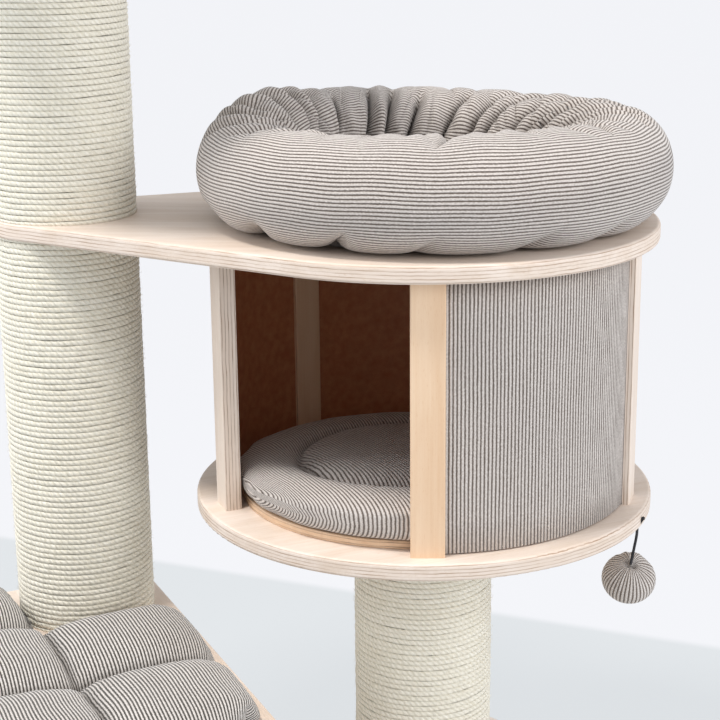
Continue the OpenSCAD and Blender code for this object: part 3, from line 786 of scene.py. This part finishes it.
def pillow(name, node_name, body, seam, squash, seed, sewn_mm=11.0, edge_power=4.2, tilt=0.0,
           shift_mm=(0, 0), grow=1.0):
    """A round pillow in the space of a CAD disc; seam is the stitched ring's share of the radius. A
    negative tilt makes it thinner at the back, and it may lie a little off the disc's middle."""
    low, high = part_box(node_name)
    centre, radius, height = (low + high) / 2, (high.x - low.x) / 2 * grow, high.z - low.z
    centre += Vector((*shift_mm, 0)) * MM
    t = np.linspace(0, 1, PROFILE_POINTS)
    top_r = radius * np.sin(t * np.pi / 2) ** 0.9
    top_at = [(x, math.sqrt(max(0.0, 1 - (x / radius) ** 2)) * FLATNESS) for x in top_r]
    bm = bmesh.new()
    line = [bm.verts.new((x, 0, z)) for x, z in top_at]
    line += [bm.verts.new((x, 0, -z)) for x, z in top_at[-2::-1]]
    edges = [bm.edges.new(pair) for pair in zip(line, line[1:])]
    bmesh.ops.spin(bm, geom=line + edges, cent=(0, 0, 0), axis=(0, 0, 1), dvec=(0, 0, 0),
                   angle=TURN, steps=PILLOW_STEPS)
    bmesh.ops.remove_doubles(bm, verts=bm.verts[:], dist=0.02 * MM)
    bmesh.ops.recalc_face_normals(bm, faces=bm.faces[:])
    made = piece(name, bm, corduroy("corduroy_" + name), body, [node_name])
    p = points_of(made.data)
    far = np.hypot(p[:, 0], p[:, 1])
    angle = np.arctan2(p[:, 1], p[:, 0])
    share = np.clip(far / radius, 0, 1)
    above = p[:, 2] > -1e-7
    rim = 0.5 * height
    crown = rim + (height - rim) * (1 - share**edge_power) ** (1 / 2.4)
    ring_at = radius * seam * (1 + 0.025 * np.sin(3 * angle + seed))
    off = np.abs(far - ring_at)
    dip = sewn_mm * MM * np.exp(-((off / (9 * MM)) ** 1.3))
    gather = np.exp(-off / (16 * MM)) + 0.6 * np.exp(-(radius - far) / (14 * MM))
    ripple = 0.9 * MM * waves(angle * 12, far * 30, seed, 9, 0.5, 4) * gather
    slow = squash * MM * waves(angle, far * 12, seed + 5, 6, 1, 3)
    top_z = crown - dip + (ripple + slow) * (1 - share**8)
    top_z *= 1 + tilt * (p[:, 0] * BACK[0] + p[:, 1] * BACK[1]) / radius
    lift = low.z + GAP
    z = np.where(above, np.maximum(top_z, rim), rim * (1 - (1 - share**36) ** 0.5))
    pull = 1 - 0.012 * (waves(angle * 5, 0 * angle, seed + 9, 6, 0.5, 4) + 0.6) * share**6
    p = np.stack([p[:, 0] * pull + centre.x, p[:, 1] * pull + centre.y, z + lift], 1)
    move_points(made.data, p)
    held = ((~above) & (share < 0.93)).astype(float)
    held = np.maximum(held, (off < 2.5 * MM) * above)
    swell(made, held, pressure=2.0, frames=7, cap_mm=4)
    p = points_of(made.data)
    p[:, 2] = np.clip(p[:, 2], lift, high.z + 6 * MM)
    if name == "cave_pillow":
        # It is squeezed between the slats and panels, and free to come out a little at the door
        off_axis = p[:, :2] - np.array(cave.to_2d())
        reach = np.hypot(off_axis[:, 0], off_axis[:, 1])
        door = close_to(np.arctan2(off_axis[:, 1], off_axis[:, 0]), DOOR_AT, DOOR_SPREAD)
        room = CAVE_ROOM + DOOR_ROOM * door
        p[:, :2] -= off_axis * np.maximum(1 - room / np.maximum(reach, 1e-6), 0)[:, None]
    move_points(made.data, p)
    drop = np.where(above, 0, 1) * (radius - far)
    down_side = 0.9 * height * share**20 * np.where(above, 1, 1.6)
    run = far + drop + down_side
    # Wales go straight down the front and the back, and lie along the rim at the left and right ends
    run_across = far + (drop + down_side) * np.cos(angle) ** 8
    wander = 1.1 * MM * waves(p[:, 0] * 30, p[:, 1] * 30, seed + 3, 7, 0.5, 2)
    write_uv(made.data, "cloth",
             np.stack([run_across * np.cos(angle) + wander, run * np.sin(angle)], 1))
    # Painted shade along the stitched ring
    write_painted_shade(made.data, 0.45 * np.exp(-((off / (3.5 * MM)) ** 2)) * above)
    print(name, "faces", len(made.data.polygons))


pillow("cave_pillow", "cave_cushion", "cave_cushion", 0.66, 1.2, 4, tilt=-0.3, shift_mm=(-5, -8), grow=1.045)
pillow("bed_bottom", "bed_pad", "bed", 0.48, 1.0, 9, 5.0, grow=1.17)
pillow("top_pillow", "top_cushion", "top_cushion", 0.62, 1.6, 14)

# %% [markdown]
# ### The seat cushion
#
# The seat has a quilted cushion of square cells, with one cell left out where the rear post stands. Deep
# seams part the cells. A grid is cut to that outline and pushed up to a closed skin, every point gets the
# height of its place in a cell, and the cloth step rounds it.

# %% The quilt's skin
seat_low, seat_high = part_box("seat_cushion")
CELL = (seat_high.x - seat_low.x) / 2
FINE = 34  # grid squares along a cell
SEAT_H = seat_high.z - seat_low.z
bm = bmesh.new()
bmesh.ops.create_grid(bm, x_segments=2 * FINE, y_segments=3 * FINE, size=0.5)
bmesh.ops.scale(bm, vec=(2, 3, 1), verts=bm.verts[:])
bmesh.ops.translate(bm, vec=(1, 1.5, 0), verts=bm.verts[:])
spare = [f for f in bm.faces if f.calc_center_median().x > 1 and f.calc_center_median().y > 2]
bmesh.ops.delete(bm, geom=spare, context="FACES")
raised = bmesh.ops.extrude_face_region(bm, geom=bm.faces[:], use_keep_orig=True)
lifted = [g for g in raised["geom"] if isinstance(g, bmesh.types.BMVert)]
bmesh.ops.translate(bm, vec=(0, 0, 1), verts=lifted)
walls = [e for e in bm.edges if abs(e.verts[0].co.z - e.verts[1].co.z) > 0.5]
bmesh.ops.subdivide_edges(bm, edges=walls, cuts=7, use_grid_fill=True)
bmesh.ops.recalc_face_normals(bm, faces=bm.faces[:])
seat_cord = corduroy("corduroy_seat", "#eceae6", "#413e39", pile_width=0.275)
seat = piece("seat_quilt", bm, seat_cord, "seat_cushion", ["seat_cushion"])
gx, gy, gz = points_of(seat.data).T.copy()
print("quilt points", len(gx))

# %% [markdown]
# #### The cells
#
# A cell rises like a roll from its seams and from the outline, so each point needs its distance to both.
# The sides bulge between the seams and are drawn in where a seam meets them.

# %% Heights and outline
FAR = 9.0  # cells; no edge on that side
to_left, to_front, to_back = gx, gy, 3 - gy
to_right = np.where(gy > 2 + 1e-6, 1 - gx, 2 - gx)
to_notch = np.where(gx > 1 + 1e-6, 2 - gy, FAR)
edge = np.minimum.reduce([to_left, to_front, to_back, to_right, to_notch])
edge = np.clip(edge, 0, None) * CELL
row_seam = np.minimum(np.abs(gy - 1), np.abs(gy - 2)) * CELL
column_seam = np.abs(gx - 1) * CELL


def roll(distance, width):
    """Rises like the side of a roll, from 0 at a seam to 1 at its width."""
    t = np.clip(distance / width, 0, 1)
    return np.sqrt(np.clip(1 - (1 - t) ** 2, 0, 1))


ROW_LOW, COLUMN_LOW, EDGE_LOW = 0.22, 0.55, 0.42  # the share of the height that is left there
ROW_ROLL, COLUMN_ROLL, EDGE_ROLL = 62 * MM, 55 * MM, 58 * MM
height_here = (
    (ROW_LOW + (1 - ROW_LOW) * roll(row_seam, ROW_ROLL))
    * (COLUMN_LOW + 0.45 * roll(column_seam, COLUMN_ROLL))
    * (EDGE_LOW + 0.58 * roll(edge, EDGE_ROLL))
)
near = np.exp(-row_seam / (13 * MM)) + 0.7 * np.exp(-column_seam / (12 * MM))
near += 0.5 * np.exp(-edge / (15 * MM))
ripple = 1.5 * MM * waves(gx * 22, gy * 22, 61, 10, 0.5, 3.5) * near
slow = 1.6 * MM * waves(gx * 2.2, gy * 2.2, 62, 6, 0.6, 2.5)
top = SEAT_H * 1.04 * height_here + ripple + slow
frac_x, frac_y = np.abs(gx - np.round(gx)), np.abs(gy - np.round(gy))
to_ends, to_sides = np.minimum(to_front, to_back), np.minimum(to_left, np.abs(to_right))
to_rear = np.minimum(to_back, to_notch)
pull_x = (11 * np.exp(-frac_y * CELL / (17 * MM)) + 1) * MM
pull_y = (11 * np.exp(-frac_x * CELL / (17 * MM)) - 3) * MM
ends = 13 * MM * np.exp(-to_ends * CELL / (24 * MM))
ends_y = 13 * MM * np.exp(-to_sides * CELL / (24 * MM))
side_x = np.where(to_left < np.abs(to_right), 1, -1) * np.exp(-to_sides * CELL / (26 * MM))
side_y = np.where(to_front < to_rear, 1, -1) * np.exp(-np.minimum(to_front, to_rear) * CELL / (26 * MM))
x = gx * CELL + side_x * (pull_x + ends)
y = gy * CELL + side_y * (pull_y + ends_y)
belly = np.sin(np.pi * np.clip(gz, 0, 1)) * 5 * MM * np.exp(-edge / (4 * MM))
x -= np.sign(side_x) * (np.abs(side_x) > 0.85) * belly
y -= np.sign(side_y) * (np.abs(side_y) > 0.85) * belly
move_points(seat.data, np.stack([x + seat_low.x, y + seat_low.y, top * gz + seat_top + GAP], 1))
print("tallest", round(float(top.max()) / MM, 1), "mm")

# %% [markdown]
# #### Swelling and wales
#
# The seams are held while the cells swell, and the cloth is kept clear of the rear post. The wales keep
# their distance along the curved surface, so u is the length of the way over the cushion.

# %% Swell the quilt and lay its wales
POST_ROOM, SIDE_RUN = 0.0785, 38 * MM
held = (gz < 0.01).astype(float)
held = np.maximum(held, (gz > 0.99) * (np.minimum(row_seam, column_seam) < 2.6 * MM))
swell(seat, held, pressure=2.4, frames=8, cap_mm=7)
p = points_of(seat.data)
p[:, 2] = np.clip(p[:, 2], seat_top + GAP, seat_high.z + 8 * MM)
from_post = p[:, :2] - np.array(rear.to_2d())
post_gap = np.hypot(p[:, 0] - rear.x, p[:, 1] - rear.y)
p[:, :2] += np.maximum(POST_ROOM - post_gap, 0)[:, None] * from_post / post_gap[:, None]
move_points(seat.data, p)
wander = 1.0 * MM * waves(gx * 4, gy * 5, 63, 7, 0.5, 2.5)
wander += 0.35 * MM * near * waves(gx * 9, gy * 14, 64, 7, 0.5, 2)
side_run = (1 - gz) * SIDE_RUN * np.where(edge < 1e-5, 1, 0)
way = np.linspace(0, CELL, 400)
rise = (SEAT_H * 0.9 * (COLUMN_LOW + 0.45 * roll(way, COLUMN_ROLL))
        * (EDGE_LOW + 0.58 * roll(CELL - way, EDGE_ROLL)))
over = np.concatenate([[0], np.cumsum(np.hypot(np.diff(way), np.diff(rise)))])
over_seam = np.interp(column_seam, way, over)
u = np.sign(gx - 1) * (over_seam + side_run * (column_seam > CELL * 0.999)) + wander
write_uv(seat.data, "cloth", np.stack([u, gy * CELL - side_run], 1))
# Painted shade along the seams
seam_shade = np.exp(-((row_seam / (4.5 * MM)) ** 2)) + 0.7 * np.exp(-((column_seam / (3.5 * MM)) ** 2))
write_painted_shade(seat.data, 0.75 * seam_shade * (gz > 0.5))
print("seat quilt faces", len(seat.data.polygons))

# %% [markdown]
# ### The ball and its cord
#
# The toy is a small ball of the same corduroy, gathered to a knot on top, so the wales fan out from it. It
# hangs on a short elastic cord. The cord's route is the one that the CAD model has, point by point.

# %% The cord
TOY_ANGLE, TOY_OUT = math.radians(310), 0.246
exit_point = Vector((cave.x, cave.y, 0)) + TOY_OUT * Vector((math.cos(TOY_ANGLE), math.sin(TOY_ANGLE), 0))
exit_point.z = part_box("cave_floor")[0].z
ROUTE_MM = [(0, 0, -2), (-0.2, 0, -8), (-1, 0.4, -15), (-2, 1, -22), (-3, 1.5, -29), (-4, 2, -36),
            (-5, 2.4, -42)]
curve = bpy.data.curves.new("toy_elastic", "CURVE")
curve.dimensions, curve.bevel_depth, curve.bevel_resolution = "3D", 1.5 * MM, 4
curve.use_fill_caps = True
line = curve.splines.new("POLY")
line.points.add(len(ROUTE_MM) - 1)
for point, place in zip(line.points, ROUTE_MM):
    point.co = (*(exit_point + Vector(place) * MM), 1)
curve.materials.append(elastic)
cord = bpy.data.objects.new("toy_elastic", curve)
scene.collection.objects.link(cord)
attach(cord, "toy_cord")
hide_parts("toy_cord")

# %% The ball
BALL_R, BALL_H, BALL_WALES = 29 * MM, 50 * MM, 42
BALL_TILT, BALL_LEAN, KNOT_DROP = math.radians(28), math.radians(246), 2.5
bm = bmesh.new()
bmesh.ops.create_uvsphere(bm, u_segments=144, v_segments=60, radius=1.0)
ball_cord = corduroy("corduroy_ball", "#f0eae4", "#6b5e55")
ball = piece("toy_fabric_ball", bm, ball_cord, "toy_ball", ["toy_ball"])
p = points_of(ball.data)
angle, tall = np.arctan2(p[:, 1], p[:, 0]), p[:, 2].copy()
flat = np.hypot(p[:, 0], p[:, 1])
top_share = step(tall, 0.35, 0.98)
lobe = 0.11 * np.cos(2 * angle + 0.6) * top_share
pucker = 0.055 * waves(angle * 4, 0 * angle, 5, 8, 1, 5) * step(tall, 0.1, 0.9) * (flat > 0.02)
wale_rise = 0.014 * (np.abs(np.sin(angle * BALL_WALES / 2)) ** 0.7) * np.clip(flat * 2.2, 0, 1)
r = flat * (0.98 + lobe + pucker + wale_rise) * BALL_R
z = tall * BALL_H / 2 * 0.98 - 6.0 * MM * np.exp(-((flat / 0.22) ** 2)) * (tall > 0)
z += (lobe * 0.6 + pucker * 0.5) * BALL_R * top_share * (flat > 0.02)
p = np.stack([r * np.cos(angle), r * np.sin(angle), z + 5 * MM - BALL_H / 2], 1)
lean_to = Matrix.Rotation(BALL_LEAN, 3, "Z") @ Matrix.Rotation(BALL_TILT, 3, "Y")
hang = exit_point + (Vector(ROUTE_MM[-1]) + Vector((0, 0, -KNOT_DROP))) * MM
p = p @ np.array(lean_to).T + np.array(hang)
move_points(ball.data, p)
write_uv(ball.data, "cloth", np.stack([(angle / TURN) * BALL_WALES * WALE, tall * 40 * MM], 1))
print("ball faces", len(ball.data.polygons))

# %% [markdown]
# ## Floor and light
#
# A pale floor turns to white behind the tree, like a sheet of studio paper. A small strong light hangs
# high up on the left, a wide soft one stands on the left, and another in front opens the shadows.

# %% Floor
floor_material, add = new_material("studio_floor")
place = add("TexCoord", out="Object")
behind = add("VectorMath", {0: place, 1: (0.730, 0.683, 0)}, out="Value", operation="DOT_PRODUCT")
behind = add("MapRange", {"Value": behind, "From Min": 0.875, "From Max": 0.905}, **SMOOTH)
floor_tone = add("Mix", {"Factor": behind, 6: colour("#d9dde0"), 7: colour("#f0f1f4")}, out=2,
           data_type="RGBA")
glow_tone = add("Mix", {"Factor": behind, 6: colour("#e1e5e8"), 7: colour("#f4f5f9")}, out=2,
          data_type="RGBA")
paper = add("BsdfPrincipled", {"Base Color": floor_tone, "Roughness": 0.6})
glow = add("Emission", {"Color": glow_tone, "Strength": 1.0})
share = add("MapRange", {"Value": behind, "To Min": 0.78, "To Max": 0.96})
finish_material(add, add("MixShader", {0: share, 1: paper, 2: glow}))
bm = bmesh.new()
bmesh.ops.create_grid(bm, x_segments=1, y_segments=1, size=60.0)
mesh = bpy.data.meshes.new("studio_floor")
bm.to_mesh(mesh)
bm.free()
mesh.materials.append(floor_material)
floor = bpy.data.objects.new("studio_floor", mesh)
scene.collection.objects.link(floor)

# %% Lights
world = bpy.data.worlds.new("soft_room")
scene.world = world
world.use_nodes = True
world.node_tree.nodes["Background"].inputs["Color"].default_value = colour("#f4f6fa")
ROOM_LIGHT, ROOM_SEEN = 0.68, 0.96  # as a light the room is weaker than it looks
seen = node(world.node_tree, "LightPath", out="Is Camera Ray")
strength = node(world.node_tree, "MapRange", {"Value": seen, "To Min": ROOM_LIGHT, "To Max": ROOM_SEEN})
world.node_tree.links.new(strength, world.node_tree.nodes["Background"].inputs["Strength"])
scene.view_settings.view_transform = "Standard"


def soft_light(name, place, aim, size, watts, tint):
    """A square area light at place, turned towards aim."""
    data = bpy.data.lights.new(name, "AREA")
    data.size, data.energy, data.color = size, watts, colour(tint)[:3]
    made = bpy.data.objects.new(name, data)
    made.matrix_world = Matrix.Translation(place) @ (
        (Vector(place) - Vector(aim)).to_track_quat("Z", "Y").to_matrix().to_4x4())
    scene.collection.objects.link(made)


soft_light("key", (-1.10, -0.48, 3.9), (0.0, 0.0, 0.7), 0.5, 76, "#fffaf4")
soft_light("left", (-2.9, 1.5, 1.9), (0.0, 0.0, 0.8), 1.8, 54, "#fbfcff")
soft_light("front", (1.7, -3.1, 2.0), (0.1, 0.0, 0.7), 2.0, 68, "#fdfdff")
